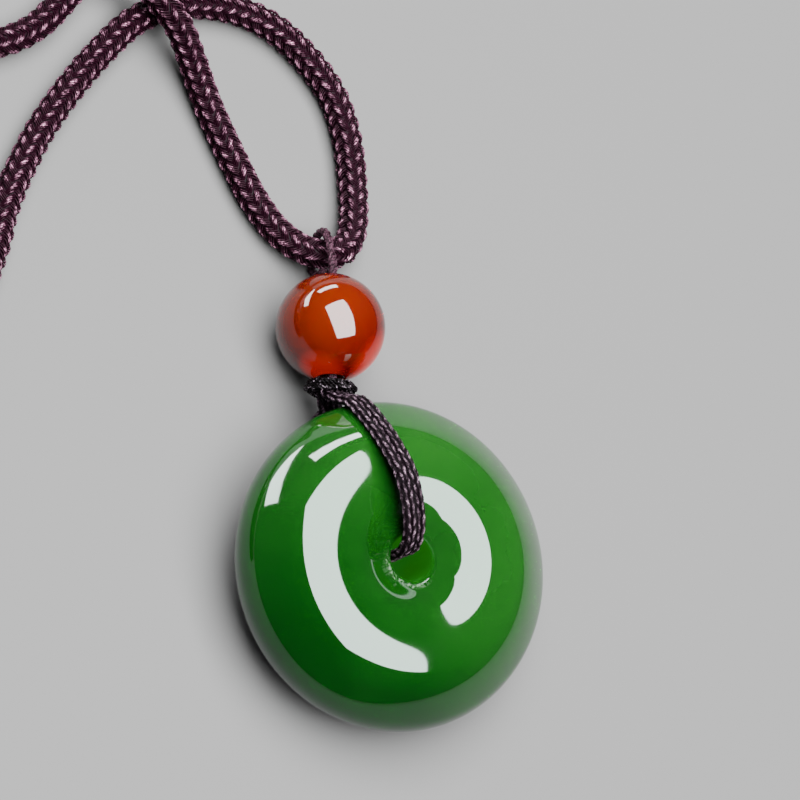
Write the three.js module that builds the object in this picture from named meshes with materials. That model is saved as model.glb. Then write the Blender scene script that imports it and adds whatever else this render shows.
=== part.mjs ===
// Jade peace buckle pendant: a thick jade ring on a flat braided cord, tied off under a carnelian bead,
// with a round braided neck cord through the thin loop above the bead. It lies on its back.
// Millimetres, +Z up. The surface that it lies on is z = 0, and +Y runs from the buckle towards the bead.
import * as THREE from 'three';

// The buckle
const buckleDiameter = 30;
const buckleThickness = 10.4;
const crestRadius = 7.7; // the ring where the buckle is thickest
const holeDiameter = 4;
const dishDepth = 0.6; // how far each face dips from its crest to the hole
const rimRound = 0.7;

// The bead and its bore
const beadDiameter = 10;
const boreDiameter = 2.2;
const boreRound = 0.3;
const beadBeyond = 7.5; // from the buckle's edge to the bead's centre
const beadAside = 3;
const beadTurn = 22; // degrees that the bore leans from +Y towards +X

// The flat cord that holds the buckle
const bandWidth = 2.4;
const bandThickness = 1;
const bandRound = 0.4;
const bandGap = 0.15; // between the band and what it passes

// The binding under the bead
const bindingLength = 1.3;
const bindingWall = 0.5;
const bindingGap = 0.15;

// The thin loop through the bead
const strandDiameter = 0.85;
const strandGap = 0.15;

// The round neck cord and its coil
const cordDiameter = 3;
const coilTurnsAcross = 2.8; // how many diameters wide the coil's wall is
const coilOuterRadius = 20.9;
const coilLayers = 2;
const coilAside = -49.5; // from the bead's centre to the coil's
const coilBeyond = 19;

// How finely the curves are cut
const ringSegments = 56;
const crestSteps = 9;
const dishSteps = 4;
const roundSteps = 4;
const beadSteps = 14;
const beadSegments = 36;
const bindingSegments = 28;
const coilSegments = 48;
const bandSteps = 64;
const strandSteps = 56;
const strandSides = 8;
const cordSteps = 76;
const cordSides = 8;

const buckleRadius = buckleDiameter / 2;
const halfThickness = buckleThickness / 2;
const holeRadius = holeDiameter / 2;
const beadRadius = beadDiameter / 2;
const beadPlace = new THREE.Vector2(beadAside, buckleRadius + beadBeyond); // from the buckle's centre
const cordRadius = cordDiameter / 2;

// One side of the buckle's section, from the hole's wall over the crest to the outer edge.
function faceProfile(side) {
  const points = [];
  const rimHeight = halfThickness - dishDepth;
  const rimCentre = new THREE.Vector2(holeRadius + rimRound, rimHeight - rimRound);
  for (let i = 0; i <= roundSteps; i++) {
    const turn = Math.PI - (i / roundSteps) * (Math.PI / 2);
    points.push(new THREE.Vector2(
      rimCentre.x + rimRound * Math.cos(turn),
      rimCentre.y + rimRound * Math.sin(turn)));
  }
  const dishRun = crestRadius - rimCentre.x;
  for (let i = 1; i <= dishSteps; i++) {
    const left = 1 - i / dishSteps;
    points.push(new THREE.Vector2(crestRadius - dishRun * left, halfThickness - dishDepth * left * left));
  }
  for (let i = 1; i <= crestSteps; i++) {
    const turn = (i / crestSteps) * (Math.PI / 2);
    points.push(new THREE.Vector2(
      crestRadius + (buckleRadius - crestRadius) * Math.sin(turn),
      halfThickness * Math.cos(turn)));
  }
  return points.map((p) => new THREE.Vector2(p.x, side * p.y));
}

function closedLathe(profile, segments) {
  const geometry = new THREE.LatheGeometry([...profile, profile[0].clone()], segments);
  geometry.rotateX(Math.PI / 2);
  return geometry;
}

function buckleProfile() {
  const top = faceProfile(1);
  const bottom = faceProfile(-1).slice(0, -1);
  return [...top.reverse(), ...bottom];
}

// The band lies under the near side of the buckle, so the buckle leans by the band's thickness.
const lean = Math.asin((bandThickness + bandGap) / (2 * crestRadius));
const buckleHeight = Math.max(...faceProfile(1).map((p) => p.x * Math.sin(lean) + p.y * Math.cos(lean)));

function buckleGeometry() {
  const geometry = closedLathe(buckleProfile(), ringSegments);
  geometry.rotateX(lean);
  geometry.translate(0, 0, buckleHeight);
  return geometry;
}

// A point by its place on the leaning buckle: across it, out from its centre and above its middle.
function onBuckle(across, out, above) {
  return new THREE.Vector3(
    across,
    out * Math.cos(lean) - above * Math.sin(lean),
    buckleHeight + out * Math.sin(lean) + above * Math.cos(lean));
}

// A point by its place on the bead's bore: along it from the bead's centre, and above or below it.
function onBore(along, above) {
  const turn = THREE.MathUtils.degToRad(beadTurn);
  return new THREE.Vector3(
    beadPlace.x + along * Math.sin(turn),
    beadPlace.y + along * Math.cos(turn),
    beadRadius + above);
}

function alongBore(geometry, along) {
  geometry.rotateX(-Math.PI / 2);
  geometry.rotateZ(-THREE.MathUtils.degToRad(beadTurn));
  const place = onBore(along, 0);
  geometry.translate(place.x, place.y, place.z);
  return geometry;
}

function beadGeometry() {
  const boreRadius = boreDiameter / 2;
  const start = Math.asin((boreRadius + boreRound) / beadRadius);
  const profile = [];
  for (let i = 0; i <= beadSteps; i++) {
    const turn = start + (i / beadSteps) * (Math.PI - 2 * start);
    profile.push(new THREE.Vector2(beadRadius * Math.sin(turn), beadRadius * Math.cos(turn)));
  }
  const mouth = beadRadius * Math.cos(start) - boreRound;
  profile.push(new THREE.Vector2(boreRadius, -mouth), new THREE.Vector2(boreRadius, mouth));
  return alongBore(closedLathe(profile.reverse(), beadSegments), 0);
}

// The binding stands against the bead and tapers a little towards the buckle.
const bindingTop = -(beadRadius + bindingGap);
const bindingMiddle = bindingTop - bindingLength / 2;
const bindingInner = Math.hypot(bandWidth / 2, bandThickness + bandGap / 2) + bindingGap;

function bindingGeometry() {
  const half = bindingLength / 2;
  const outer = bindingInner + bindingWall;
  const profile = [
    new THREE.Vector2(bindingInner, -half),
    new THREE.Vector2(outer - 0.3, -half),
    new THREE.Vector2(outer, -half / 3),
    new THREE.Vector2(outer + 0.1, half / 3),
    new THREE.Vector2(outer - 0.1, half),
    new THREE.Vector2(bindingInner, half),
  ];
  return alongBore(closedLathe(profile, bindingSegments), bindingMiddle);
}

function sweep(section, path, steps) {
  return new THREE.ExtrudeGeometry(section, { steps, bevelEnabled: false, extrudePath: path });
}

function smooth(points) {
  return new THREE.CatmullRomCurve3(points, false, 'centripetal');
}

// The band's curve: it lies on the surface at its lowest. Its section stays level across, and turns to
// the bore's direction near the bead.
class BandCurve extends THREE.CatmullRomCurve3 {
  getPoint(t, target) {
    const place = super.getPoint(t, target);
    place.z = Math.max(place.z, bandThickness / 2);
    return place;
  }

  computeFrenetFrames(segments) {
    const frames = { tangents: [], normals: [], binormals: [] };
    for (let i = 0; i <= segments; i++) {
      const tangent = this.getTangentAt(i / segments);
      const place = this.getPointAt(i / segments);
      const share = THREE.MathUtils.smoothstep(place.y, buckleRadius - 2, beadPlace.y - beadRadius);
      const turn = -share * THREE.MathUtils.degToRad(beadTurn);
      const across = new THREE.Vector3(Math.cos(turn), Math.sin(turn), 0);
      const normal = across.addScaledVector(tangent, -across.dot(tangent)).normalize();
      frames.tangents.push(tangent);
      frames.normals.push(normal);
      frames.binormals.push(new THREE.Vector3().crossVectors(tangent, normal));
    }
    return frames;
  }
}

function flatSection(width, thickness, round) {
  const shape = new THREE.Shape();
  const x = width / 2;
  const y = thickness / 2;
  shape.moveTo(-x + round, -y);
  shape.lineTo(x - round, -y);
  shape.lineTo(x, -y + round);
  shape.lineTo(x, y - round);
  shape.lineTo(x - round, y);
  shape.lineTo(-x + round, y);
  shape.lineTo(-x, y - round);
  shape.lineTo(-x, -y + round);
  return shape;
}

function roundSection(radius, sides) {
  const shape = new THREE.Shape();
  for (let i = 0; i < sides; i++) {
    const turn = ((i + 0.5) / sides) * 2 * Math.PI;
    const x = radius * Math.cos(turn);
    const y = radius * Math.sin(turn);
    if (i === 0) shape.moveTo(x, y);
    else shape.lineTo(x, y);
  }
  return shape;
}

// The band leaves the binding, arches over the buckle's face, goes down the hole and comes back under it.
function bandRoute() {
  const leg = (bandThickness + bandGap) / 2;
  const flat = bandThickness / 2;
  const inHole = holeRadius - bandThickness / 2 - 0.6;
  return [
    onBore(bindingMiddle, leg),
    onBore(bindingMiddle - 0.7, leg),
    onBuckle(0.65, buckleRadius + 0.9, -0.4),
    onBuckle(0.65, buckleRadius + 0.75, 0.9),
    onBuckle(0.6, buckleRadius - 0.1, 2.85),
    onBuckle(0.6, buckleRadius - 3.3, halfThickness - 0.05),
    onBuckle(0.5, buckleRadius - 5.5, halfThickness + 1.3),
    onBuckle(0.4, crestRadius - 0.3, halfThickness + 2.2),
    onBuckle(0.25, crestRadius - 2.9, halfThickness + 2.1),
    onBuckle(0.1, holeRadius + 0.3, halfThickness + 1),
    onBuckle(0, inHole + 0.05, halfThickness - 0.8),
    onBuckle(0, inHole - 0.1, halfThickness / 3),
    onBuckle(0, inHole - 0.1, -halfThickness / 3),
    onBuckle(0, inHole + 0.15, 1.6 - halfThickness),
    new THREE.Vector3(0, holeRadius - 0.1, flat + 0.55),
    new THREE.Vector3(0, holeRadius + 0.9, flat + 0.14),
    new THREE.Vector3(0, holeRadius + 2.1, flat + 0.02),
    new THREE.Vector3(0, holeRadius + 3.2, flat),
    new THREE.Vector3(0, crestRadius, flat),
    new THREE.Vector3(0, buckleRadius - 3.8, flat),
    new THREE.Vector3(0, buckleRadius - 2.8, flat + 0.04),
    new THREE.Vector3(-0.1, buckleRadius - 1.2, flat + 0.5),
    new THREE.Vector3(-0.2, buckleRadius, flat + 1.6),
    new THREE.Vector3(-0.1, buckleRadius + 0.45, flat + 2.9),
    onBore(bindingMiddle - 1.1, -leg - 0.25),
    onBore(bindingMiddle, -leg),
  ];
}

// The strand comes out of the bead, goes once round the neck cord's bend and back down the bore.
function strandRoute(held) {
  const half = (strandDiameter + strandGap) / 2;
  const end = bindingTop - 0.3;
  const mouth = onBore(beadRadius, 0);
  const reach = Math.hypot(held.x - mouth.x, held.y - mouth.y);
  const ahead = (run, height) => {
    const place = onBore(beadRadius + reach + run, 0);
    return new THREE.Vector3(place.x, place.y, height);
  };
  const round = cordRadius + bandGap + strandDiameter / 2;
  const ring = [];
  for (let degrees = 65; degrees >= -195; degrees -= 37) {
    const turn = THREE.MathUtils.degToRad(degrees);
    ring.push(ahead(round * Math.cos(turn), held.z + round * Math.sin(turn)));
  }
  return [
    onBore(end, half),
    onBore(-beadRadius / 2, half),
    onBore(beadRadius / 2, half),
    onBore(beadRadius, half),
    ahead(-0.55 * reach, beadRadius + half - 0.1),
    ...ring,
    onBore(beadRadius + 0.3, -half - 0.15),
    onBore(beadRadius - 0.6, -half),
    onBore(beadRadius / 2, -half),
    onBore(-beadRadius / 2, -half),
    onBore(end, -half),
  ];
}

// The neck cord's route by hand, from its bend in the loop to the coil, measured from the bead's centre.
const leftStrand = [
  [2.95, 7.3, 2.55], [1.5, 8.4, 2.1], [-0.03, 10.7, 1.7], [-1, 13.8, 1.55], [-1.5, 16.9, 1.55],
  [-1.9, 20.5, 1.55], [-2.25, 23.7, 1.7], [-2.65, 27.2, 2.5], [-3.5, 30.6, 4], [-4.6, 33, 4.75],
  [-5.6, 35.5, 4.4], [-7.3, 37.8, 3.4], [-9.7, 38.1, 2.3], [-12.5, 36.4, 1.65], [-15.6, 34.7, 1.55],
  [-19.5, 33.9, 1.55], [-24.5, 34.5, 1.6], [-30.2, 36.5, 2.3], [-35, 38.5, 3.6], [-39.7, 39.5, 4.4],
];
const rightStrand = [
  [4.7, 6.95, 2.55], [6.4, 7.7, 2.2], [7.9, 9.8, 1.8], [9.2, 13, 1.55], [10.3, 17.1, 1.55],
  [10.5, 21.5, 1.55], [9.3, 25.5, 1.55], [6.9, 29.4, 1.55], [3.2, 32.1, 1.55], [-1.5, 33.4, 1.55],
  [-6, 33, 1.55], [-10, 31.2, 1.55], [-14.5, 28.5, 1.55], [-19, 25.2, 1.55], [-22.6, 21.8, 1.55],
  [-25.4, 18.6, 1.55], [-27, 16.2, 1.55],
];

function coilGeometry() {
  const inner = coilOuterRadius - (coilTurnsAcross + 0.5) * cordDiameter;
  const height = coilLayers * cordDiameter;
  const edge = cordRadius / 2;
  const profile = [
    new THREE.Vector2(inner + edge, 0),
    new THREE.Vector2(coilOuterRadius - edge, 0),
    new THREE.Vector2(coilOuterRadius, edge),
    new THREE.Vector2(coilOuterRadius, height - edge),
    new THREE.Vector2(coilOuterRadius - edge, height),
    new THREE.Vector2(inner + edge, height),
    new THREE.Vector2(inner, height - edge),
    new THREE.Vector2(inner, edge),
  ];
  const geometry = closedLathe(profile, coilSegments);
  geometry.translate(beadPlace.x + coilAside, beadPlace.y + coilBeyond, 0);
  return geometry;
}

function finish(color, roughness) {
  return new THREE.MeshStandardMaterial({ color, roughness, metalness: 0 });
}

const bandCurve = new BandCurve(bandRoute(), false, 'centripetal');
const cordPoints = [...leftStrand.toReversed(), ...rightStrand].map(
  ([x, y, z]) => new THREE.Vector3(beadPlace.x + x, beadPlace.y + y, z));
const held = cordPoints[leftStrand.length - 1];
const pieces = [
  ['jade_buckle', buckleGeometry(), finish(0x0c5f10, 0.12), false],
  ['carnelian_bead', beadGeometry(), finish(0xa8260a, 0.1), false],
  ['bail_band', sweep(flatSection(bandWidth, bandThickness, bandRound), bandCurve, bandSteps),
    finish(0x24141c, 0.7), false],
  ['bail_binding', bindingGeometry(), finish(0x17101a, 0.5), false],
  ['bead_loop', sweep(roundSection(strandDiameter / 2, strandSides), smooth(strandRoute(held)), strandSteps),
    finish(0x2a1620, 0.6), false],
  ['neck_cord', sweep(roundSection(cordRadius, cordSides), smooth(cordPoints), cordSteps),
    finish(0x3a1826, 0.7), true],
  ['neck_cord_coil', coilGeometry(), finish(0x3a1826, 0.7), true],
];

// The origin is on the surface, under the middle of everything but the neck cord.
const pendant = new THREE.Group();
const box = new THREE.Box3();
for (const [name, geometry, material, isNeckCord] of pieces) {
  const mesh = new THREE.Mesh(geometry, material);
  mesh.name = name;
  pendant.add(mesh);
  if (!isNeckCord) box.union(new THREE.Box3().setFromObject(mesh));
}
const middle = box.getCenter(new THREE.Vector3());
pendant.position.set(-middle.x, -middle.y, 0);
const group = new THREE.Group();
group.add(pendant);

export default group;
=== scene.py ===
"""A jade peace buckle pendant that lies on its back, with its bead, its flat band and its neck cord."""
import math
from typing import NamedTuple

import bmesh
import bpy
import numpy as np
from bpy.props import FloatProperty, FloatVectorProperty, IntProperty, PointerProperty
from mathutils import Matrix, Vector


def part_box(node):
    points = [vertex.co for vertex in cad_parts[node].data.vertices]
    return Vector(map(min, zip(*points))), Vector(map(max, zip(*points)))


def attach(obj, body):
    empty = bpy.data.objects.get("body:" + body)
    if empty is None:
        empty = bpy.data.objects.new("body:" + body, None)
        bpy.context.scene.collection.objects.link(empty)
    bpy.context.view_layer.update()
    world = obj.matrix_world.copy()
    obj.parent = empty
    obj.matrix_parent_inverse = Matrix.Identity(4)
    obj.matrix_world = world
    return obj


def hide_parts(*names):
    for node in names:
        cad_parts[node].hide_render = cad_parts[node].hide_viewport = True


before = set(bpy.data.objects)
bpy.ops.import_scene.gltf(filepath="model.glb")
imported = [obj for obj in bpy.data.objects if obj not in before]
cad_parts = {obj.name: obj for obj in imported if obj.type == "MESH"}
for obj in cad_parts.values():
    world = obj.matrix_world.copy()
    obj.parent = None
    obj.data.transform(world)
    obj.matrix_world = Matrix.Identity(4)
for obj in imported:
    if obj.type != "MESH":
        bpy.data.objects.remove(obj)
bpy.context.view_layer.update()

bl_info = {
    "name": "Jade Peace Buckle Pendant",
    "version": (1, 0, 0),
    "blender": (4, 5, 0),
    "location": "View3D > Sidebar > Pendant",
    "description": "Builds a jade buckle with a carnelian bead on braided cords, laid on a table",
    "category": "Add Mesh",
}

MM = 0.001


def middle_of(node):
    low, high = (Vector(corner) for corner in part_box(node))
    return (low + high) / 2


BUCKLE = middle_of("jade_buckle")
BEAD = middle_of("carnelian_bead")
COIL = middle_of("neck_cord_coil")
BORE_TURN = math.radians(22)  # the bead's bore leans this much from +Y towards +X
BINDING_TOP = -5.15 * MM  # along the bore from the bead's centre
BINDING_LENGTH = 1.3 * MM
SEED = 7  # of the yarns' uneven shine

# The neck cord's route in millimetres: x and y from the bead's centre, and the height above the table.
LEFT_STRAND = [
    (2.95, 7.3, 2.55), (1.5, 8.4, 2.1), (-0.03, 10.7, 1.7), (-1, 13.8, 1.55), (-1.5, 16.9, 1.55),
    (-1.9, 20.5, 1.55), (-2.25, 23.7, 1.7), (-2.65, 27.2, 2.5), (-3.5, 30.6, 4), (-4.6, 33, 4.75),
    (-5.6, 35.5, 4.4), (-7.3, 37.8, 3.4), (-9.7, 38.1, 2.3), (-12.5, 36.4, 1.65), (-15.6, 34.7, 1.55),
    (-19.5, 33.9, 1.55), (-24.5, 34.5, 1.6), (-30.2, 36.5, 2.3), (-35, 38.5, 3.6), (-39.7, 39.5, 4.4),
]
RIGHT_STRAND = [
    (4.7, 6.95, 2.55), (6.4, 7.7, 2.2), (7.9, 9.8, 1.8), (9.2, 13, 1.55), (10.3, 17.1, 1.55),
    (10.5, 21.5, 1.55), (9.3, 25.5, 1.55), (6.9, 29.4, 1.55), (3.2, 32.1, 1.55), (-1.5, 33.4, 1.55),
    (-6, 33, 1.55), (-10, 31.2, 1.55), (-14.5, 28.5, 1.55), (-19, 25.2, 1.55), (-22.6, 21.8, 1.55),
    (-25.4, 18.6, 1.55), (-27, 16.2, 1.55),
]


class BuckleSettings(bpy.types.PropertyGroup):
    diameter: FloatProperty(name="Diameter", description="Across the buckle", default=0.030, unit="LENGTH")
    thickness: FloatProperty(name="Thickness", description="At the crest", default=0.0104, unit="LENGTH")
    crest: FloatProperty(name="Crest radius", description="Where it is thickest", default=0.0077,
                         unit="LENGTH")
    hole: FloatProperty(name="Hole", description="The hole's diameter", default=0.004, unit="LENGTH")
    dish: FloatProperty(name="Dish", description="How far a face dips to the hole", default=0.0006,
                        unit="LENGTH")
    rim: FloatProperty(name="Rim rounding", description="At the hole's mouths", default=0.0007, unit="LENGTH")
    deep: FloatVectorProperty(name="Deep green", description="The jade's main colour", subtype="COLOR",
                              size=4, default=(0.0001, 0.0125, 0.0001, 1))
    # Pale green goes on one side of the buckle and in its clouds.
    pale: FloatVectorProperty(name="Pale green", description="The jade's clouds", subtype="COLOR",
                              size=4, default=(0.005, 0.039, 0.004, 1))


class BeadSettings(bpy.types.PropertyGroup):
    diameter: FloatProperty(name="Diameter", description="Across the bead", default=0.010, unit="LENGTH")
    bore: FloatProperty(name="Bore", description="The bore's diameter", default=0.0022, unit="LENGTH")
    red: FloatVectorProperty(name="Red", description="The bead's main colour", subtype="COLOR",
                             size=4, default=(0.038, 0.0003, 0.0001, 1))
    amber: FloatVectorProperty(name="Amber", description="The bead's paler clouds", subtype="COLOR",
                               size=4, default=(0.066, 0.0062, 0.0002, 1))


class BandSettings(bpy.types.PropertyGroup):
    width: FloatProperty(name="Width", description="Across the band", default=0.0024, unit="LENGTH")
    thickness: FloatProperty(name="Thickness", description="Through the band", default=0.001, unit="LENGTH")
    gap: FloatProperty(name="Gap", description="Between the band and what it passes", default=0.00015,
                       unit="LENGTH")
    strands: IntProperty(name="Strands", description="Strands each way round the band", default=5, min=3)
    pitch: FloatProperty(name="Pitch", description="Length of one turn of a strand", default=0.0056,
                         unit="LENGTH")
    colour: FloatVectorProperty(name="Colour", description="The band's yarn", subtype="COLOR", size=4,
                                default=(0.0015, 0.0006, 0.0012, 1))


class CordSettings(bpy.types.PropertyGroup):
    diameter: FloatProperty(name="Diameter", description="Across the neck cord", default=0.003, unit="LENGTH")
    strands: IntProperty(name="Strands", description="Strands each way round the cord", default=4, min=3)
    pitch: FloatProperty(name="Pitch", description="Length of one turn of a strand", default=0.0054,
                         unit="LENGTH")
    colour: FloatVectorProperty(name="Colour", description="The neck cord's yarn", subtype="COLOR", size=4,
                                default=(0.006, 0.001, 0.003, 1))
    # The glint is a painted highlight: the colour that the fibres take where a stitch catches the light.
    glint: FloatVectorProperty(name="Glint", description="Its paler fibres", subtype="COLOR", size=4,
                               default=(0.55, 0.25, 0.38, 1))


class StageSettings(bpy.types.PropertyGroup):
    lens: FloatProperty(name="Lens", description="Focal length", default=225.45, unit="CAMERA")
    floor: FloatVectorProperty(name="Floor", description="The table's colour", subtype="COLOR", size=4,
                               default=(0.058, 0.058, 0.058, 1))


def laid(strand):
    """A strand's points in metres, in the model's frame."""
    return [BEAD + Vector((x, y, 0)) * MM + Vector((0, 0, z * MM - BEAD.z)) for x, y, z in strand]


def on_bore(along, above=0.0):
    """A point by its place on the bead's bore: along it from the bead's centre, and above it."""
    return BEAD + Vector((along * math.sin(BORE_TURN), along * math.cos(BORE_TURN), above))


def buckle_lean():
    """How far the buckle leans, with one side on the table and the other on the band under it."""
    band = bpy.context.scene.pendant_band
    return math.asin((band.thickness + band.gap) / (2 * bpy.context.scene.pendant_buckle.crest))


def on_buckle(across, out, above):
    """A point by its place on the leaning buckle: across it, out from its centre and above its middle."""
    lean = buckle_lean()
    return BUCKLE + Vector((
        across,
        out * math.cos(lean) - above * math.sin(lean),
        out * math.sin(lean) + above * math.cos(lean)))


def unit(vectors):
    return vectors / np.linalg.norm(vectors, axis=-1, keepdims=True)


def eased(share):
    """A share from 0 to 1 that starts and ends slowly."""
    return share * share * (3 - 2 * share)


def smooth_path(points, step, closed=False):
    """Evenly spaced points on the smooth curve through the given ones."""
    given = np.array([tuple(p) for p in points], dtype=float)
    if closed:
        given = np.vstack([given[-1:], given, given[:2]])
    else:
        given = np.vstack([2 * given[0] - given[1], given, 2 * given[-1] - given[-2]])
    stretches = []
    per_stretch = 40
    t = np.linspace(0, 1, per_stretch, endpoint=False)[:, None]
    for a, b, c, d in zip(given, given[1:], given[2:], given[3:]):
        before, here, after = (math.sqrt(np.linalg.norm(q - p)) for p, q in ((a, b), (b, c), (c, d)))
        start = ((b - a) / before - (c - a) / (before + here) + (c - b) / here) * here
        end = ((c - b) / here - (d - b) / (here + after) + (d - c) / after) * here
        square = 3 * (c - b) - 2 * start - end
        cube = 2 * (b - c) + start + end
        stretches.append(b + start * t + square * t**2 + cube * t**3)
    fine = np.vstack([*stretches, given[-2][None]])
    far = np.concatenate([[0], np.cumsum(np.linalg.norm(np.diff(fine, axis=0), axis=1))])
    even = np.linspace(0, far[-1], max(2, round(far[-1] / step)) + 1)
    return np.column_stack([np.interp(even, far, fine[:, k]) for k in range(3)])


class Run:
    """A cord's middle line with a direction across it and one out of it at each point."""

    def __init__(self, points, across=None, closed=False):
        self.points = points
        self.length = float(np.linalg.norm(np.diff(points, axis=0), axis=1).sum())
        self.far = np.linspace(0, self.length, len(points))
        ahead = np.gradient(points, axis=0)
        if closed:
            ahead[0] = ahead[-1] = points[1] - points[-2]
        self.ahead = unit(ahead)
        if across is None:
            across = self.carried(closed)
        across = across - (across * self.ahead).sum(axis=1, keepdims=True) * self.ahead
        self.across = unit(across)
        self.out = np.cross(self.ahead, self.across)

    def carried(self, closed):
        """The direction across, carried along without twist, and closed up evenly on a closed line."""
        start = np.cross(self.ahead[0], (0, 0, 1))
        held = [unit(start)]
        for ahead in self.ahead[1:]:
            turned = held[-1] - held[-1].dot(ahead) * ahead
            held.append(unit(turned))
        held = np.array(held)
        if closed:
            side = np.cross(self.ahead[-1], held[-1])
            miss = math.atan2(held[0].dot(side), held[0].dot(held[-1]))
            turn = (miss * self.far / self.length)[:, None]
            held = held * np.cos(turn) + np.cross(self.ahead, held) * np.sin(turn)
        return held

    def at(self, far, across, out, closed=False):
        """Points beside the line: far along it, moved across it and out of it."""
        if closed:
            far = np.mod(far, self.length)
        parts = []
        for values in (self.points, self.across, self.out):
            parts.append(np.column_stack([np.interp(far, self.far, values[:, k]) for k in range(3)]))
        place, side, up = parts
        return place + across[:, None] * side + out[:, None] * up


def round_section(radius):
    """A round section, as a place and a direction out for each share of a turn, and its length around."""

    def section(turn):
        angle = 2 * math.pi * turn
        return radius * np.cos(angle), radius * np.sin(angle), np.cos(angle), np.sin(angle)
    return section, 2 * math.pi * radius


def flat_section(width, thickness):
    """The same for a flat section with round edges, followed at an even pace."""
    radius = thickness / 2
    straight = width - thickness
    around = 2 * straight + 2 * math.pi * radius

    def section(turn):
        far = np.mod(turn, 1) * around
        half_way = straight + math.pi * radius
        second = far > half_way
        far = np.where(second, far - half_way, far)
        angle = np.clip((far - straight) / radius, 0, math.pi)
        side = np.where(second, -1.0, 1.0)
        x = np.clip(far, 0, straight) - straight / 2 + radius * np.sin(angle)
        y = radius * np.cos(angle)
        return side * x, side * y, side * np.sin(angle), side * np.cos(angle)
    return section, around


class Braid(NamedTuple):
    """How a braid is made, in metres."""
    pitch: float  # the length of one turn of a strand
    strands: int  # each way round
    yarns: int  # in a strand
    spread: float  # from one yarn to the next
    rise: float  # how far a strand goes over and under
    crown: float  # how much lower a strand's sides are
    pull: float  # how far a stitch is pulled straight along the cord, from 0 to 1
    step: float  # between a line's points


def braid_lines(braid, run, section, around, span=None, closed=False):
    """A braid's yarns, each as its middle line and how far its points stand up, from 0 to 1, which sets the
    painted glints on the stitches' crests.
    """
    slant = math.atan2(around, braid.pitch)
    start, end = span or (0, run.length)
    far = np.linspace(start, end, round((end - start) / braid.step) + 1)
    half = (braid.yarns - 1) / 2
    shine = np.random.default_rng(SEED).uniform(0.85, 1.05, (2, braid.strands, braid.yarns))
    # A strand's outermost yarns get this much less painted glint.
    duller = 0.3  # a strand's outermost yarns
    lines = []
    for way in (1, -1):
        for strand in range(braid.strands):
            for yarn in range(braid.yarns):
                aside = (yarn - half) * braid.spread
                share = abs(yarn - half) / half
                turn = way * far / braid.pitch + strand / braid.strands + aside * math.cos(slant) / around
                phase = 2 * math.pi * braid.strands * turn
                wave = way * np.cos(phase)
                height = braid.rise * wave - braid.crown * share**2
                turn = turn - way * braid.pull * np.sin(phase) / (2 * math.pi * braid.strands)
                x, y, nx, ny = section(turn)
                along = far - way * aside * math.sin(slant)
                if not closed:
                    along = np.clip(along, 0, run.length)
                # How much painted glint a point gets: most where the stitch stands highest, less on the outer
                # yarns, unevenly from yarn to yarn.
                stands = (0.5 + 0.5 * wave) * (1 - duller * share) * shine[way, strand, yarn]
                lines.append((run.at(along, x + height * nx, y + height * ny, closed), stands))
    return lines


def ply_lines(run, count, radius, pitch):
    """The middle lines of yarns twisted round each other."""
    step = pitch / 12
    far = np.linspace(0, run.length, round(run.length / step) + 1)
    lines = []
    for k in range(count):
        angle = 2 * math.pi * far / pitch + 2 * math.pi * k / count
        lines.append(run.at(far, radius * np.cos(angle), radius * np.sin(angle)))
    return lines


def add_piece(name, mesh, finish, replaced=()):
    """Adds a visible piece with its material, and hides the nodes that it stands for."""
    piece = bpy.data.objects.new(name, mesh)
    bpy.context.scene.collection.objects.link(piece)
    mesh.materials.append(finish)
    mesh.polygons.foreach_set("use_smooth", [True] * len(mesh.polygons))
    mesh.update()
    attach(piece, "root")
    if replaced:
        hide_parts(*replaced)
    return piece


def tubes(name, lines, radius, sides=4, stands=None):
    """One mesh of round tubes, one along each line, which can keep how far each point stands up."""
    curve = bpy.data.curves.new(name, "CURVE")
    curve.dimensions = "3D"
    curve.bevel_depth = radius
    curve.bevel_resolution = (sides - 4) // 2
    curve.use_fill_caps = stands is None
    for line in lines:
        spline = curve.splines.new("POLY")
        spline.points.add(len(line) - 1)
        spline.points.foreach_set("co", np.column_stack([line, np.ones(len(line))]).ravel())
    carrier = bpy.data.objects.new(name, curve)
    bpy.context.scene.collection.objects.link(carrier)
    scene_state = bpy.context.evaluated_depsgraph_get()
    mesh = bpy.data.meshes.new_from_object(carrier.evaluated_get(scene_state))
    bpy.data.objects.remove(carrier)
    bpy.data.curves.remove(curve)
    mesh.name = name
    if stands is not None:
        values = np.repeat(np.concatenate(stands), sides).astype(np.float32)
        mesh.attributes.new("stands", "FLOAT", "POINT").data.foreach_set("value", values)
    return mesh


def turned(name, profile, steps, place):
    """A closed profile of radius and height turned once round the Z axis, then put in place."""
    shape = bmesh.new()
    same_place = 1e-7
    corners = [shape.verts.new((radius, 0, height)) for radius, height in profile]
    edges = [shape.edges.new(pair) for pair in zip(corners, corners[1:] + corners[:1])]
    bmesh.ops.spin(shape, geom=corners + edges, cent=(0, 0, 0), axis=(0, 0, 1), angle=2 * math.pi,
                   steps=steps, use_merge=True)
    bmesh.ops.remove_doubles(shape, verts=shape.verts, dist=same_place)
    bmesh.ops.recalc_face_normals(shape, faces=shape.faces)
    bmesh.ops.transform(shape, matrix=place, verts=shape.verts)
    mesh = bpy.data.meshes.new(name)
    shape.to_mesh(mesh)
    shape.free()
    return mesh


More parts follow.
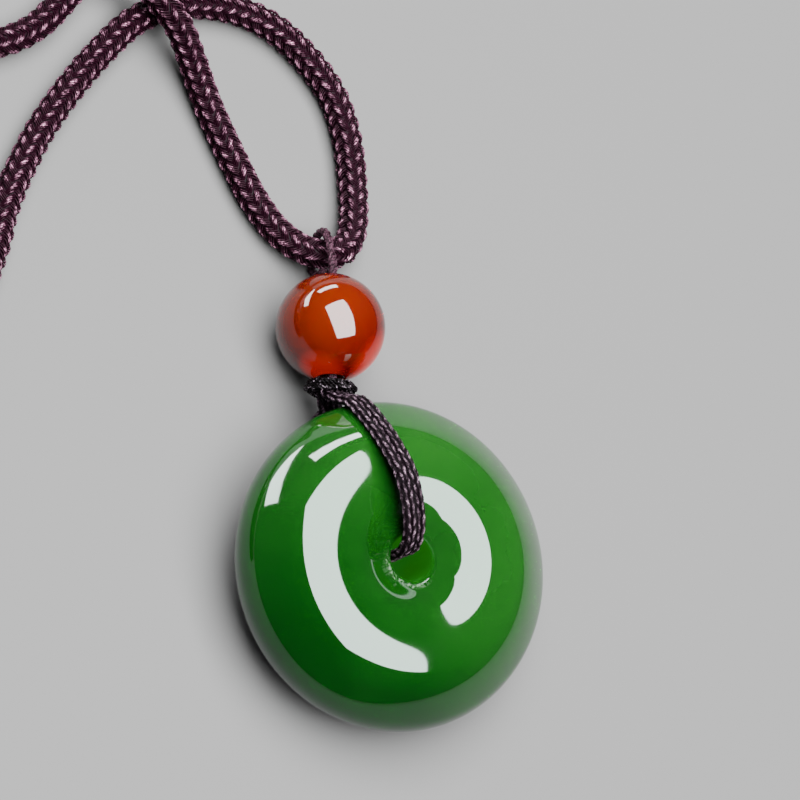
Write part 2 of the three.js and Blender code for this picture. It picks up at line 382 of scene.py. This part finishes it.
class Value:
    """A node's output that takes part in sums: each operator adds its Math node."""

    def __init__(self, finish, socket):
        self.finish = finish
        self.socket = socket

    def __add__(self, other):
        return self.finish.sum("ADD", self, other)

    def __sub__(self, other):
        return self.finish.sum("SUBTRACT", self, other)

    def __rsub__(self, other):
        return self.finish.sum("SUBTRACT", other, self)

    def __mul__(self, other):
        return self.finish.sum("MULTIPLY", self, other)

    def __truediv__(self, other):
        return self.finish.sum("DIVIDE", self, other)

    def __pow__(self, other):
        return self.finish.sum("POWER", self, other)

    __radd__ = __add__

    def clamped(self):
        return self.finish.node("ShaderNodeClamp", {}, {"Value": self})

    def between(self, low, high):
        """0 at low and 1 at high, with a smooth step."""
        return self.finish.node("ShaderNodeMapRange", {"interpolation_type": "SMOOTHSTEP"},
                                {"Value": self, "From Min": low, "From Max": high})


class Finish:
    """A material and its main shader, with short ways to add nodes."""

    def __init__(self, name, **uniform):
        self.material = bpy.data.materials.new(name)
        self.material.use_nodes = True
        self.tree = self.material.node_tree
        self.shader = next(n for n in self.tree.nodes if n.type == "BSDF_PRINCIPLED")
        for socket, value in uniform.items():
            self.shader.inputs[socket.replace("_", " ")].default_value = value

    def node(self, kind, settings, values, output=0):
        made = self.tree.nodes.new(kind)
        for setting, value in settings.items():
            setattr(made, setting, value)
        for socket, value in values.items():
            self.feed(made.inputs[socket], value)
        return Value(self, made.outputs[output])

    def feed(self, socket, value):
        if isinstance(value, Value):
            self.tree.links.new(value.socket, socket)
        else:
            socket.default_value = value

    def sum(self, operation, first, second):
        return self.node("ShaderNodeMath", {"operation": operation}, {0: first, 1: second})

    def place(self, centre=(0, 0, 0), turn=(0, 0, 0)):
        """The point's place on the piece, from a centre and in turned axes."""
        point = self.node("ShaderNodeTexCoord", {}, {}, "Object")
        return self.node("ShaderNodeMapping", {"vector_type": "TEXTURE"},
                         {"Vector": point, "Location": centre, "Rotation": turn})

    def noise(self, point, size, detail=2.0, roughness=0.5):
        """Soft noise from 0 to 1 with features of that size in metres."""
        return self.node("ShaderNodeTexNoise", {}, {
            "Vector": point, "Scale": 1 / size, "Detail": detail, "Roughness": roughness})

    def apart(self, point):
        axes = self.tree.nodes.new("ShaderNodeSeparateXYZ")
        self.feed(axes.inputs[0], point)
        return [Value(self, axes.outputs[k]) for k in range(3)]

    def mix(self, share, first, second):
        """A colour between two colours."""
        return self.node("ShaderNodeMix", {"data_type": "RGBA"}, {0: share, 6: first, 7: second}, 2)

    def bump(self, height, distance, strength=1.0):
        return self.node("ShaderNodeBump", {}, {"Height": height, "Distance": distance, "Strength": strength})

    def use(self, **sockets):
        for socket, value in sockets.items():
            self.feed(self.shader.inputs[socket.replace("_", " ")], value)
        return self.material


def jade_finish(settings):
    """Jade: green, paler towards one side and in soft clouds, with ground marks at the hole, a painted glow
    inside it and a bump that widens its reflections.
    """
    jade = Finish("polished_jade", IOR=1.55, Subsurface_Weight=0.3, Subsurface_Scale=0.002,
                  Subsurface_Radius=(0.3, 1.0, 0.25), Specular_Tint=(0.82, 1.0, 0.94, 1),
                  Emission_Strength=1.0)
    point = jade.place(BUCKLE, (buckle_lean(), 0, 0))
    across, out, _ = jade.apart(point)
    radius = (across * across + out * out) ** 0.5
    clouds = jade.noise(point, 0.012, 2.0, 0.5)
    wisps = jade.noise(point, 0.0025, 4.0, 0.6)
    # The jade is paler towards one side of the buckle, and in soft clouds.
    slope = (across * 0.8 + out * 0.6) / settings.diameter + 0.5
    pale = (slope * 0.8 + clouds * 0.6 + wisps * 0.1 - 0.38).clamped()
    colour = jade.mix(pale, settings.deep, settings.pale)
    wall = settings.hole / 2
    rim = wall + settings.rim
    ring = radius.between(rim - 0.5 * MM, rim - 0.2 * MM)
    ring = ring * (1 - radius.between(rim - 0.1 * MM, rim + 0.3 * MM))
    scratches = jade.noise(point, 0.0003, 3.0, 0.7).between(0.45, 0.65)
    near_side = ((across * -0.75 - out * 0.65) / radius).between(0.2, 0.9)
    ground = ring * scratches * near_side
    colour = jade.mix(ground * 0.35, colour, (0.17, 0.25, 0.17, 1))
    # Painted glow: the hole's wall is lit green through Emission Color, for light shining through the jade.
    inside = 1 - radius.between(wall, wall + 0.4 * MM)
    painted_glow = jade.mix(inside, (0, 0, 0, 1), (0.004, 0.1, 0.0, 1))
    crest = settings.crest
    # The bump's heights are in millimetres.
    fall = radius.between(crest + 2.6 * MM, crest + 6.6 * MM) * 0.8
    lip = (1 - radius.between(crest - 3 * MM, crest)) * 0.25
    dip = (1 - radius.between(crest - 6.2 * MM, crest - 2.2 * MM)) * 1.4
    roughness = 0.03 + wisps * 0.03 + inside * 0.3 + ground * 0.4
    return jade.use(Base_Color=colour, Roughness=roughness, Emission_Color=painted_glow,
                    Normal=jade.bump((fall + lip + dip) * -1, MM))


def carnelian_finish(settings):
    """Carnelian: red, amber towards its upper left, with a painted glow where light shines through its lower
    edge.
    """
    bead = Finish("polished_carnelian", IOR=1.5, Subsurface_Weight=0.4, Subsurface_Scale=0.003,
                  Subsurface_Radius=(1.0, 0.18, 0.05), Emission_Strength=1.0)
    point = bead.place(BEAD)
    across, out, above = bead.apart(point)
    clouds = bead.noise(point, 0.006, 3.0, 0.5)
    radius = settings.diameter / 2
    upper = (across * -0.43 + out * 0.43 + above * 0.79) / radius
    amber = (upper * 0.8 + clouds * 0.6 - 0.4).clamped()
    colour = bead.mix(amber, settings.red, settings.amber)
    # Painted glow: the lower edge and the foot are lit red through Emission Color, for light shining through
    # the bead.
    low = ((across * 0.42 - out * 0.83 + above * 0.37) / radius).between(0.8, 1.0)
    foot = ((across * -0.64 - out * 0.73 + above * 0.26) / radius).between(0.88, 1.0)
    painted_glow = bead.mix((low + foot * 0.5).clamped(), (0, 0, 0, 1), (0.5, 0.012, 0.0, 1))
    return bead.use(Base_Color=colour, Roughness=0.03 + clouds * 0.04, Emission_Color=painted_glow)


def yarn_finish(name, dark, glint, share, size=0.0003, height=None, rare=0.0):
    """Dark yarn with painted glints on bright silky fibres, which on a braid show only above a height of its
    stitches.
    """
    yarn = Finish(name, Specular_IOR_Level=0.03, Roughness=0.38)
    point = yarn.place()
    fibres = yarn.noise(point, size, 3.0, 0.7)
    patches = yarn.noise(point, 0.0035, 2.0)
    # Painted glints: here the colour moves towards the glint colour and the surface towards metal.
    pale = fibres.between(0.4 + rare, 0.66 + rare) * (0.4 + patches * 1.2) * share
    if height is not None:
        stands = yarn.node("ShaderNodeAttribute", {"attribute_name": "stands"}, {}, "Fac")
        pale = pale * stands.between(height, 1.0)
    pale = pale.clamped()
    return yarn.use(Base_Color=yarn.mix(pale, dark, glint), Metallic=pale,
                    Normal=yarn.bump(fibres, 0.00004, 0.6))


class PENDANT_OT_stage(bpy.types.Operator):
    """Adds the camera, the table and the soft lights"""
    bl_idname = "pendant.stage"
    bl_label = "Stage"

    def execute(self, context):
        settings = context.scene.pendant_stage
        lens = bpy.data.cameras.new("camera")
        lens.lens = settings.lens
        lens.sensor_width = 36
        lens.clip_start = 0.01
        camera = bpy.data.objects.new("camera", lens)
        context.scene.collection.objects.link(camera)
        away = Vector((-0.211995, -0.043881, 0.394786))  # from the buckle's centre
        turn = Matrix((
            (0.842771, 0.242114, -0.480748),
            (-0.340493, 0.931526, -0.127764),
            (0.416896, 0.271367, 0.867501)))
        camera.matrix_world = Matrix.Translation(BUCKLE + away) @ turn.to_4x4()
        context.scene.camera = camera

        table = bmesh.new()
        bmesh.ops.create_grid(table, x_segments=1, y_segments=1, size=2)
        mesh = bpy.data.meshes.new("table")
        table.to_mesh(mesh)
        table.free()
        floor = bpy.data.objects.new("table", mesh)
        context.scene.collection.objects.link(floor)
        paper = Finish("table_paper", Roughness=0.75, Base_Color=settings.floor)
        mesh.materials.append(paper.material)

        world = bpy.data.worlds.new("soft_room")
        world.use_nodes = True
        background = world.node_tree.nodes["Background"]
        background.inputs["Color"].default_value = (0.8, 0.83, 0.87, 1)
        background.inputs["Strength"].default_value = 0.15
        context.scene.world = world
        self.light(context, turn, "main", place=(25.5, 20), angles=(48, 76), roll=14)
        self.light(context, turn, "behind", place=(-8, 92), angles=(30, 8), roll=145)
        self.light(context, turn, "side", place=(-48, 76), angles=(9, 46), roll=52)
        return {"FINISHED"}

    def light(self, context, turn, name, place, angles, roll):
        """A soft box, all in degrees: right of and above the line of sight, wide and tall, and its roll."""
        distance = 0.6
        shine = 32  # the same brightness for every box, whatever its size
        off = math.radians(math.hypot(*place))
        around = math.atan2(place[1], place[0])
        aim = Vector((math.sin(off) * math.cos(around), math.sin(off) * math.sin(around), math.cos(off)))
        right = Vector((0, 1, 0)).cross(aim).normalized()
        upright = Matrix((right, aim.cross(right), aim)).transposed()
        facing = upright @ Matrix.Rotation(math.radians(roll), 3, "Z")
        data = bpy.data.lights.new(name, "AREA")
        data.shape = "RECTANGLE"
        data.size, data.size_y = (2 * distance * math.tan(math.radians(angle) / 2) for angle in angles)
        data.energy = shine * math.pi * data.size * data.size_y
        lamp = bpy.data.objects.new(name, data)
        lamp.matrix_world = Matrix.Translation(BUCKLE + distance * (turn @ aim)) @ (turn @ facing).to_4x4()
        context.scene.collection.objects.link(lamp)


class PENDANT_OT_neck_cord(bpy.types.Operator):
    """Adds the round braided neck cord with its coil"""
    bl_idname = "pendant.neck_cord"
    bl_label = "Neck cord"

    def route(self, diameter):
        """The cord's points from its bend in the bead's loop, through the coil and back to the bend."""
        radius = diameter / 2
        low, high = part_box("neck_cord_coil")
        outer = (high[0] - low[0]) / 2 - radius
        lower = radius + 0.05 * MM
        upper = 3 * radius + 0.05 * MM
        turns = 2.27  # in each layer, inwards in the lower one and outwards in the upper one
        per_turn = 16  # points
        climb = 0.35  # of a turn, between the layers
        entry = math.radians(-50)
        points = [(math.radians(-21), outer + 0.6 * radius, lower),
                  (math.radians(-36), outer + 0.15 * radius, lower)]
        steps = round(2 * turns * per_turn)
        for step in range(steps + 1):
            turn = step / per_turn
            inward = min(turn, 2 * turns - turn)
            height = lower + (upper - lower) * eased(min(max((turn - turns) / climb + 0.5, 0), 1))
            points.append((entry - 2 * math.pi * turn, outer - diameter * inward, height))
        leave = entry - 2 * math.pi * steps / per_turn
        points += [(leave - math.radians(14), outer + 0.15 * radius, upper),
                   (leave - math.radians(30), outer + 0.7 * radius, upper)]
        coil = [Vector((COIL.x + out * math.cos(angle), COIL.y + out * math.sin(angle), height))
                for angle, out, height in points]
        return [*laid(LEFT_STRAND), *reversed(coil), *reversed(laid(RIGHT_STRAND))]

    def execute(self, context):
        settings = context.scene.pendant_cord
        points = self.route(settings.diameter)
        run = Run(smooth_path(points, 0.25 * MM, closed=True), closed=True)
        # The core is near-black, darker than the yarn, as painted shade in the gaps between the braid's
        # strands, with a few painted glints in the cord's colour.
        dark = yarn_finish("neck_cord_core_yarn", (0.003, 0.001, 0.002, 1), settings.colour, share=0.3)
        core_radius = 0.36 * settings.diameter
        core = add_piece("neck_cord_core", tubes("neck_cord_core", [run.points[::3]], core_radius, sides=10),
                         dark, ("neck_cord", "neck_cord_coil"))
        # The braid's yarn with painted glints on its stitches' crests.
        yarn = yarn_finish("neck_cord_yarn", settings.colour, settings.glint, share=0.62, height=0.56)
        turns = round(run.length / settings.pitch)
        yarn_radius = 0.031 * settings.diameter
        braid = Braid(pitch=run.length / turns, strands=settings.strands, yarns=5, spread=2 * yarn_radius,
                      rise=0.075 * settings.diameter, crown=0.06 * settings.diameter, pull=0.4,
                      step=0.17 * MM)
        section, around = round_section(settings.diameter / 2 - yarn_radius - braid.rise)
        count = 8
        for part in range(count):
            span = (run.length * part / count, run.length * (part + 1) / count)
            lines, stands = zip(*braid_lines(braid, run, section, around, span, closed=True))
            name = f"neck_cord_braid_{part + 1}"
            add_piece(name, tubes(name, lines, yarn_radius, stands=stands), yarn)
        return {"FINISHED"}


class PENDANT_OT_buckle(bpy.types.Operator):
    """Adds the jade buckle"""
    bl_idname = "pendant.buckle"
    bl_label = "Buckle"

    def face(self, settings):
        """Half of the buckle's section, from the hole over the crest to the edge."""
        half = settings.thickness / 2
        wall = settings.hole / 2
        rim = wall + settings.rim
        lip = half - settings.dish
        crest = settings.crest
        rim_steps, dish_steps, edge_steps = 6, 14, 36
        points = []
        for step in range(rim_steps + 1):
            angle = math.pi - step / rim_steps * math.pi / 2
            points.append((rim + settings.rim * math.cos(angle),
                           lip - settings.rim + settings.rim * math.sin(angle)))
        for step in range(1, dish_steps + 1):
            left = 1 - step / dish_steps
            points.append((crest - (crest - rim) * left, half - settings.dish * left * left))
        for step in range(1, edge_steps + 1):
            angle = step / edge_steps * math.pi / 2
            points.append((crest + (settings.diameter / 2 - crest) * math.sin(angle), half * math.cos(angle)))
        return points

    def execute(self, context):
        settings = context.scene.pendant_buckle
        top = self.face(settings)
        bottom = [(radius, -height) for radius, height in top[:-1]]
        place = Matrix.Translation(BUCKLE) @ Matrix.Rotation(buckle_lean(), 4, "X")
        mesh = turned("buckle_jade", [*reversed(top), *bottom], steps=192, place=place)
        add_piece("buckle_jade", mesh, jade_finish(settings), ("jade_buckle",))
        return {"FINISHED"}


def bore_place(along):
    """Turns the Z axis onto the bead's bore, at a distance along it from the bead's centre."""
    aim = Vector((math.sin(BORE_TURN), math.cos(BORE_TURN), 0))
    return Matrix.Translation(on_bore(along)) @ aim.to_track_quat("Z", "Y").to_matrix().to_4x4()


class PENDANT_OT_bead(bpy.types.Operator):
    """Adds the carnelian bead"""
    bl_idname = "pendant.bead"
    bl_label = "Bead"

    def execute(self, context):
        settings = context.scene.pendant_bead
        radius = settings.diameter / 2
        bore = settings.bore / 2
        round_off = 0.3 * MM
        start = math.asin((bore + round_off) / radius)
        ball_steps, mouth_steps = 72, 5
        profile = []
        for step in range(ball_steps + 1):
            angle = start + step / ball_steps * (math.pi - 2 * start)
            profile.append((radius * math.sin(angle), radius * math.cos(angle)))
        mouth = radius * math.cos(start)
        arc = []
        for step in range(1, mouth_steps + 1):
            angle = step / mouth_steps * math.pi / 2
            arc.append((bore + round_off * (1 - math.sin(angle)), mouth - round_off * (1 - math.cos(angle))))
        profile += [(out, -along) for out, along in arc]
        profile += reversed(arc)
        mesh = turned("bead_carnelian", profile, steps=120, place=bore_place(0))
        add_piece("bead_carnelian", mesh, carnelian_finish(settings), ("carnelian_bead",))
        return {"FINISHED"}


class PENDANT_OT_band(bpy.types.Operator):
    """Adds the flat braided band that holds the buckle"""
    bl_idname = "pendant.band"
    bl_label = "Band"

    def route(self, band, buckle):
        """The band's points: over the buckle's face, down the hole, back under it and up to the binding."""
        leg = (band.thickness + band.gap) / 2
        flat = band.thickness / 2
        edge = buckle.diameter / 2
        half = buckle.thickness / 2
        hole = buckle.hole / 2
        in_hole = hole - flat - 0.6 * MM
        knot = BINDING_TOP - BINDING_LENGTH / 2

        def under(across, out, height):
            return Vector((BUCKLE.x + across, BUCKLE.y + out, height))

        return [
            on_bore(knot, leg),
            on_bore(knot - 0.7 * MM, leg),
            on_buckle(0.65 * MM, edge + 0.9 * MM, -0.4 * MM),
            on_buckle(0.45 * MM, edge + 0.55 * MM, 0.5 * MM),
            on_buckle(0.5 * MM, edge - 0.15 * MM, 2.65 * MM),
            on_buckle(0.6 * MM, edge - 3.3 * MM, half - 0.05 * MM),
            on_buckle(0.5 * MM, edge - 5.5 * MM, half + 1.3 * MM),
            on_buckle(0.4 * MM, buckle.crest - 0.3 * MM, half + 2.2 * MM),
            on_buckle(0.25 * MM, buckle.crest - 2.9 * MM, half + 2.1 * MM),
            on_buckle(0.1 * MM, hole + 0.3 * MM, half + 1 * MM),
            on_buckle(0, in_hole + 0.05 * MM, half - 0.8 * MM),
            on_buckle(0, in_hole - 0.1 * MM, half / 3),
            on_buckle(0, in_hole - 0.1 * MM, -half / 3),
            on_buckle(0, in_hole + 0.15 * MM, 1.6 * MM - half),
            under(0, hole - 0.1 * MM, flat + 0.55 * MM),
            under(0, hole + 0.9 * MM, flat + 0.14 * MM),
            under(0, hole + 2.1 * MM, flat + 0.02 * MM),
            under(0, hole + 3.2 * MM, flat),
            under(0, buckle.crest, flat),
            under(0, edge - 3.8 * MM, flat),
            under(0, edge - 2.8 * MM, flat + 0.04 * MM),
            under(0.15 * MM, edge - 1.2 * MM, flat + 0.5 * MM),
            under(0.55 * MM, edge, flat + 1.6 * MM),
            under(0.95 * MM, edge + 0.45 * MM, flat + 2.9 * MM),
            on_bore(knot - 1.1 * MM, -leg - 0.25 * MM) + Vector((0.3 * MM, 0, 0)),
            on_bore(knot, -leg),
        ]

    def execute(self, context):
        band = context.scene.pendant_band
        buckle = context.scene.pendant_buckle
        points = smooth_path(self.route(band, buckle), 0.1 * MM)
        lowest = band.thickness / 2 + 0.02 * MM
        points[:, 2] = np.maximum(points[:, 2], lowest)
        start = BUCKLE.y + buckle.diameter / 2 - 2 * MM  # the band turns into line with the bore from here
        end = BEAD.y - BEAD.z  # to here, at the bead
        turn = -BORE_TURN * eased(np.clip((points[:, 1] - start) / (end - start), 0, 1))
        across = np.column_stack([np.cos(turn), np.sin(turn), np.zeros(len(turn))])
        run = Run(points, across)
        yarn_radius = 0.075 * MM
        braid = Braid(pitch=band.pitch, strands=band.strands, yarns=5, spread=1.9 * yarn_radius,
                      rise=0.09 * MM, crown=0.08 * MM, pull=0.3, step=0.13 * MM)
        inset = 2 * (yarn_radius + braid.rise)
        section, around = flat_section(band.width - inset, band.thickness - inset)
        lines, stands = zip(*braid_lines(braid, run, section, around))
        # The band's yarn with painted glints on its stitches' crests.
        yarn = yarn_finish("band_yarn", band.colour, (0.36, 0.24, 0.32, 1), share=0.65, size=0.0002,
                           height=0.56)
        mesh = tubes("band_braid", lines, yarn_radius, stands=stands)
        add_piece("band_braid", mesh, yarn, ("bail_band",))
        core_radius = 0.27 * MM
        outermost = band.width / 2 - 2 * core_radius
        count = 220
        far = np.linspace(0, run.length, count)
        cores = [run.at(far, np.full(count, outermost * k / 2), np.zeros(count)) for k in (-2, -1, 0, 1, 2)]
        # The cores are near-black, darker than the yarn, as painted shade in the gaps between the band's
        # strands.
        dark = yarn_finish("band_core_yarn", (0.001, 0.0005, 0.001, 1), band.colour, share=0.3)
        add_piece("band_core", tubes("band_core", cores, core_radius, sides=8), dark)
        return {"FINISHED"}


class PENDANT_OT_binding(bpy.types.Operator):
    """Adds the wound thread under the bead"""
    bl_idname = "pendant.binding"
    bl_label = "Binding"

    def execute(self, context):
        band = context.scene.pendant_band
        inner = math.hypot(band.width / 2, band.thickness + band.gap / 2)
        thread = 0.17 * MM  # half the thickness of the two-ply thread
        per_turn = 36  # points
        layers = (  # turns, share of the binding's length, and how far the turns wave
            (4, 1, 0.05 * MM),
            (4, 0.9, 0.2 * MM),
            (2, 0.3, 0.45 * MM),
        )
        half = BINDING_LENGTH / 2
        place = bore_place(BINDING_TOP - half)
        plies = []
        for layer, (turns, tall, wave) in enumerate(layers):
            share = np.linspace(0, 1, turns * per_turn + 1)
            angle = 2 * math.pi * turns * share * (-1) ** layer + 2 * layer
            out = inner + (1 + 1.3 * layer) * thread + 0.07 * MM * np.sin(2 * angle + layer)
            out += 0.1 * MM * np.sin(4 * math.pi * share + 2 * layer)
            height = (2 * share - 1) * (half - thread) * tall + wave * np.sin(angle + 1.7 * layer)
            rings = np.column_stack([out * np.cos(angle), out * np.sin(angle), height])
            winding = Run(smooth_path([place @ Vector(p) for p in rings], 0.06 * MM))
            plies += ply_lines(winding, 2, thread * 0.5, pitch=0.8 * MM)
        # Dark thread with painted glints as small bright speckles.
        finish = yarn_finish("binding_thread", (0.0004, 0.0002, 0.0003, 1), (0.6, 0.48, 0.58, 1), share=0.6,
                             rare=0.16)
        mesh = tubes("binding_thread", plies, thread * 0.55, sides=8)
        add_piece("binding_thread", mesh, finish, ("bail_binding",))
        return {"FINISHED"}


class PENDANT_OT_bead_loop(bpy.types.Operator):
    """Adds the thin cord through the bead and round the neck cord"""
    bl_idname = "pendant.bead_loop"
    bl_label = "Bead loop"

    def route(self, diameter, cord, bead):
        """The loop's points: up through the bead, round the neck cord and back through the bead."""
        gap = 0.15 * MM
        half = (diameter + gap) / 2
        end = BINDING_TOP - 0.3 * MM
        radius = bead.diameter / 2
        mouth = on_bore(radius)
        held = laid(LEFT_STRAND)[0]
        reach = math.hypot(held.x - mouth.x, held.y - mouth.y)

        def ahead(run, above):
            place = on_bore(radius + reach + run)
            return Vector((place.x, place.y, above))

        around = cord.diameter / 2 + gap + diameter / 2
        ring = []
        for degrees in range(65, -196, -37):
            angle = math.radians(degrees)
            ring.append(ahead(around * math.cos(angle), held.z + around * math.sin(angle)))
        return [
            on_bore(end, half), on_bore(-radius / 2, half), on_bore(radius / 2, half), on_bore(radius, half),
            ahead(-0.55 * reach, BEAD.z + half - 0.1 * MM),
            *ring,
            on_bore(radius + 0.3 * MM, -half - gap), on_bore(radius - 0.6 * MM, -half),
            on_bore(radius / 2, -half), on_bore(-radius / 2, -half), on_bore(end, -half),
        ]

    def execute(self, context):
        diameter = 0.85 * MM
        points = self.route(diameter, context.scene.pendant_cord, context.scene.pendant_bead)
        run = Run(smooth_path(points, 0.12 * MM))
        # Dark yarn with a few painted glints.
        finish = yarn_finish("bead_loop_yarn", (0.002, 0.0004, 0.001, 1), (0.5, 0.22, 0.34, 1), share=0.1,
                             size=0.0002)
        lines = ply_lines(run, 3, diameter * 0.23, pitch=2.2 * MM)
        mesh = tubes("bead_loop_cord", lines, diameter * 0.27, sides=8)
        add_piece("bead_loop_cord", mesh, finish, ("bead_loop",))
        return {"FINISHED"}


class PENDANT_PT_panel(bpy.types.Panel):
    """Lists the pendant's pieces"""
    bl_idname = "PENDANT_PT_panel"
    bl_label = "Pendant"
    bl_space_type = "VIEW_3D"
    bl_region_type = "UI"
    bl_category = "Pendant"

    def draw(self, context):
        for operator in OPERATORS:
            self.layout.operator(operator.bl_idname)
        for group in SETTINGS:
            settings = getattr(context.scene, group)
            for name in settings.bl_rna.properties.keys():
                if name not in ("rna_type", "name"):
                    self.layout.prop(settings, name)


OPERATORS = (PENDANT_OT_stage, PENDANT_OT_neck_cord, PENDANT_OT_buckle, PENDANT_OT_bead, PENDANT_OT_band,
             PENDANT_OT_binding, PENDANT_OT_bead_loop)
SETTINGS = {
    "pendant_stage": StageSettings,
    "pendant_cord": CordSettings,
    "pendant_buckle": BuckleSettings,
    "pendant_bead": BeadSettings,
    "pendant_band": BandSettings,
}


def register():
    for kind in (*SETTINGS.values(), *OPERATORS, PENDANT_PT_panel):
        bpy.utils.register_class(kind)
    for name, kind in SETTINGS.items():
        setattr(bpy.types.Scene, name, PointerProperty(type=kind))


def unregister():
    for name in SETTINGS:
        delattr(bpy.types.Scene, name)
    for kind in (PENDANT_PT_panel, *OPERATORS, *SETTINGS.values()):
        bpy.utils.unregister_class(kind)


def main():
    register()
    bpy.ops.pendant.stage()
    bpy.ops.pendant.neck_cord()
    bpy.ops.pendant.buckle()
    bpy.ops.pendant.bead()
    bpy.ops.pendant.band()
    bpy.ops.pendant.binding()
    bpy.ops.pendant.bead_loop()


if __name__ == "__main__":
    main()
